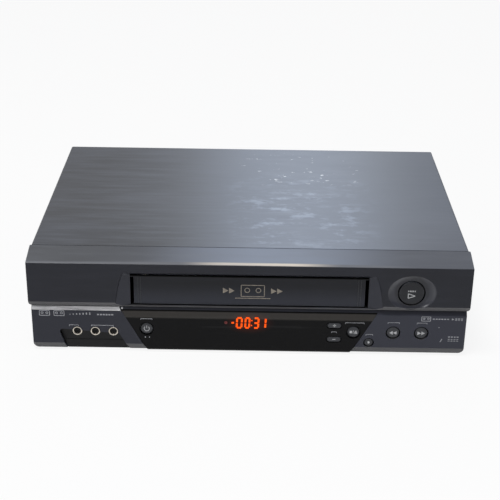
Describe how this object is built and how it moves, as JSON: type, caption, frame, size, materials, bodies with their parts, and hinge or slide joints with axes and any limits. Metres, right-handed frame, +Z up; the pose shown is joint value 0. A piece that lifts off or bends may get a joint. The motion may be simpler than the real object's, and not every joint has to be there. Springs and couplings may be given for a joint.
{
  "type": "vhs video cassette recorder",
  "caption": "Low, wide video cassette recorder with a tape slot flap, push buttons, a dark display window, front sockets and a full tape deck inside a steel cover.",
  "frame": {"origin": "middle of the bounding box, on the surface that the feet stand on", "axes": "+X along the front towards its right end, +Y from the front to the back, +Z up"},
  "size_m": [0.4, 0.29, 0.0965],
  "materials": {
    "panel_plastic": "dark blue-grey moulded plastic with a fine grain",
    "cover_paint": "grey painted steel sheet, softly glossy",
    "window_plastic": "nearly black gloss plastic",
    "trim_silver": "bright silver strip",
    "button_plastic": "dark grey satin plastic",
    "socket_metal": "bright plated shell",
    "black_plastic": "black moulded plastic",
    "display_glass": "dark glass with orange figures",
    "rubber": "black rubber",
    "steel_sheet": "zinc-plated steel sheet",
    "bright_metal": "machined bright metal",
    "ivory_plastic": "pale moulded plastic",
    "board": "green circuit board",
    "can_sleeve": "dark printed sleeve"
  },
  "bodies": {
    "chassis": {"top_cover": "cover_paint", "base_chassis": "ivory_plastic", "bottom_cover": "steel_sheet", "rear_panel": "steel_sheet", "front_panel": "panel_plastic", "trim_strip": "trim_silver", "display_window": "window_plastic", "foot_front_left": "rubber", "foot_front_right": "rubber", "foot_rear_left": "rubber", "foot_rear_right": "rubber", "cover_screw_1": "bright_metal", "cover_screw_2": "bright_metal", "cover_screw_3": "bright_metal", "cover_screw_4": "bright_metal", "front_board": "board", "display_module": "display_glass", "front_socket_block": "black_plastic", "front_socket_1": "socket_metal", "front_socket_2": "socket_metal", "front_socket_3": "socket_metal", "main_board": "board", "power_transformer": "steel_sheet", "heat_sink": "bright_metal", "filter_capacitor": "can_sleeve", "rear_socket_block": "black_plastic", "tuner_unit": "steel_sheet", "cord_gland": "rubber", "deck_plate": "steel_sheet", "side_frame_left": "steel_sheet", "side_frame_right": "steel_sheet", "top_bridge": "steel_sheet", "lower_drum": "bright_metal", "capstan_base": "steel_sheet", "erase_head": "bright_metal", "sound_head": "bright_metal", "loading_motor": "steel_sheet"},
    "flap": {"cassette_flap": "panel_plastic"},
    "loading_carriage": {"carriage_left": "ivory_plastic", "carriage_right": "ivory_plastic"},
    "holder": {"cassette_holder": "steel_sheet"},
    "supply_reel": {"supply_reel_table": "ivory_plastic"},
    "takeup_reel": {"takeup_reel_table": "ivory_plastic"},
    "drum": {"upper_drum": "bright_metal"},
    "capstan": {"capstan_rotor": "steel_sheet"},
    "pinch_arm": {"pinch_arm": "steel_sheet"},
    "pinch_roller": {"pinch_roller": "rubber"},
    "cam": {"cam_gear": "ivory_plastic"},
    "pinion": {"motor_pinion": "steel_sheet"},
    "pole_left": {"guide_pole_left": "bright_metal"},
    "pole_right": {"guide_pole_right": "bright_metal"},
    "power_button": {"power_button": "button_plastic"},
    "stop_eject_button": {"stop_eject_button": "button_plastic"},
    "record_button": {"record_button": "button_plastic"},
    "rewind_button": {"rewind_button": "button_plastic"},
    "forward_button": {"forward_button": "button_plastic"},
    "play_button": {"play_button": "button_plastic"},
    "channel_up_button": {"channel_up_button": "button_plastic"},
    "channel_down_button": {"channel_down_button": "button_plastic"}
  },
  "joints": [
    {"name": "flap_hinge", "type": "hinge", "parent": "chassis", "child": "flap", "pos_m": [0, -0.1394, 0.076], "axis": [1, 0, 0], "range_deg": [0, 80], "stiffness_Nm_per_rad": 0.003},
    {"name": "holder_load", "type": "slide", "parent": "chassis", "child": "loading_carriage", "axis": [0, 1, 0], "range_m": [0, 0.054]},
    {"name": "holder_lower", "type": "slide", "parent": "loading_carriage", "child": "holder", "axis": [0, 0, -1], "range_m": [0, 0.02]},
    {"name": "supply_reel_spin", "type": "hinge", "parent": "chassis", "child": "supply_reel", "pos_m": [-0.045, -0.065, 0.0285], "axis": [0, 0, 1], "continuous": true},
    {"name": "takeup_reel_spin", "type": "hinge", "parent": "chassis", "child": "takeup_reel", "pos_m": [0.045, -0.065, 0.0285], "axis": [0, 0, 1], "continuous": true},
    {"name": "drum_spin", "type": "hinge", "parent": "chassis", "child": "drum", "pos_m": [0, 0.027, 0.0335], "axis": [0, 0.0958, 0.9954], "continuous": true},
    {"name": "capstan_spin", "type": "hinge", "parent": "chassis", "child": "capstan", "pos_m": [0.052, -0.007, 0.0155], "axis": [0, 0, 1], "continuous": true},
    {"name": "pinch_press", "type": "hinge", "parent": "chassis", "child": "pinch_arm", "pos_m": [0.074, 0.007, 0.0455], "axis": [0, 0, 1], "range_deg": [0, 24]},
    {"name": "pinch_roller_spin", "type": "hinge", "parent": "pinch_arm", "child": "pinch_roller", "pos_m": [0.05032, 0.01088, 0.0325], "axis": [0, 0, 1], "continuous": true},
    {"name": "cam_turn", "type": "hinge", "parent": "chassis", "child": "cam", "pos_m": [-0.076, 0.027, 0.0285], "axis": [0, 0, 1], "range_deg": [0, 180]},
    {"name": "pinion_spin", "type": "hinge", "parent": "chassis", "child": "pinion", "pos_m": [-0.076, 0.0523, 0.0285], "axis": [0, 0, 1], "range_deg": [-720, 0]},
    {"name": "pole_left_slide", "type": "slide", "parent": "chassis", "child": "pole_left", "axis": [-0.3865, 0.9223, 0], "range_m": [0, 0.0649]},
    {"name": "pole_right_slide", "type": "slide", "parent": "chassis", "child": "pole_right", "axis": [0.3865, 0.9223, 0], "range_m": [0, 0.0649]},
    {"name": "power_press", "type": "slide", "parent": "chassis", "child": "power_button", "axis": [0, 1, 0], "range_m": [0, 0.0008], "stiffness_N_per_m": 300},
    {"name": "stop_eject_press", "type": "slide", "parent": "chassis", "child": "stop_eject_button", "axis": [0, 1, 0], "range_m": [0, 0.0008], "stiffness_N_per_m": 300},
    {"name": "record_press", "type": "slide", "parent": "chassis", "child": "record_button", "axis": [0, 1, 0], "range_m": [0, 0.0008], "stiffness_N_per_m": 300},
    {"name": "rewind_press", "type": "slide", "parent": "chassis", "child": "rewind_button", "axis": [0, 1, 0], "range_m": [0, 0.0008], "stiffness_N_per_m": 300},
    {"name": "forward_press", "type": "slide", "parent": "chassis", "child": "forward_button", "axis": [0, 1, 0], "range_m": [0, 0.0008], "stiffness_N_per_m": 300},
    {"name": "play_press", "type": "slide", "parent": "chassis", "child": "play_button", "axis": [0, 1, 0], "range_m": [0, 0.0008], "stiffness_N_per_m": 300},
    {"name": "channel_up_press", "type": "slide", "parent": "chassis", "child": "channel_up_button", "axis": [0, 1, 0], "range_m": [0, 0.0008], "stiffness_N_per_m": 300},
    {"name": "channel_down_press", "type": "slide", "parent": "chassis", "child": "channel_down_button", "axis": [0, 1, 0], "range_m": [0, 0.0008], "stiffness_N_per_m": 300}
  ],
  "couplings": [
    {"joint": "pinion_spin", "follows": "cam_turn", "ratio": -4},
    {"joint": "pole_left_slide", "follows": "cam_turn", "m_per_rad": 0.02065},
    {"joint": "pole_right_slide", "follows": "cam_turn", "m_per_rad": 0.02065},
    {"joint": "pinch_press", "follows": "cam_turn", "ratio": 0.1333}
  ]
}
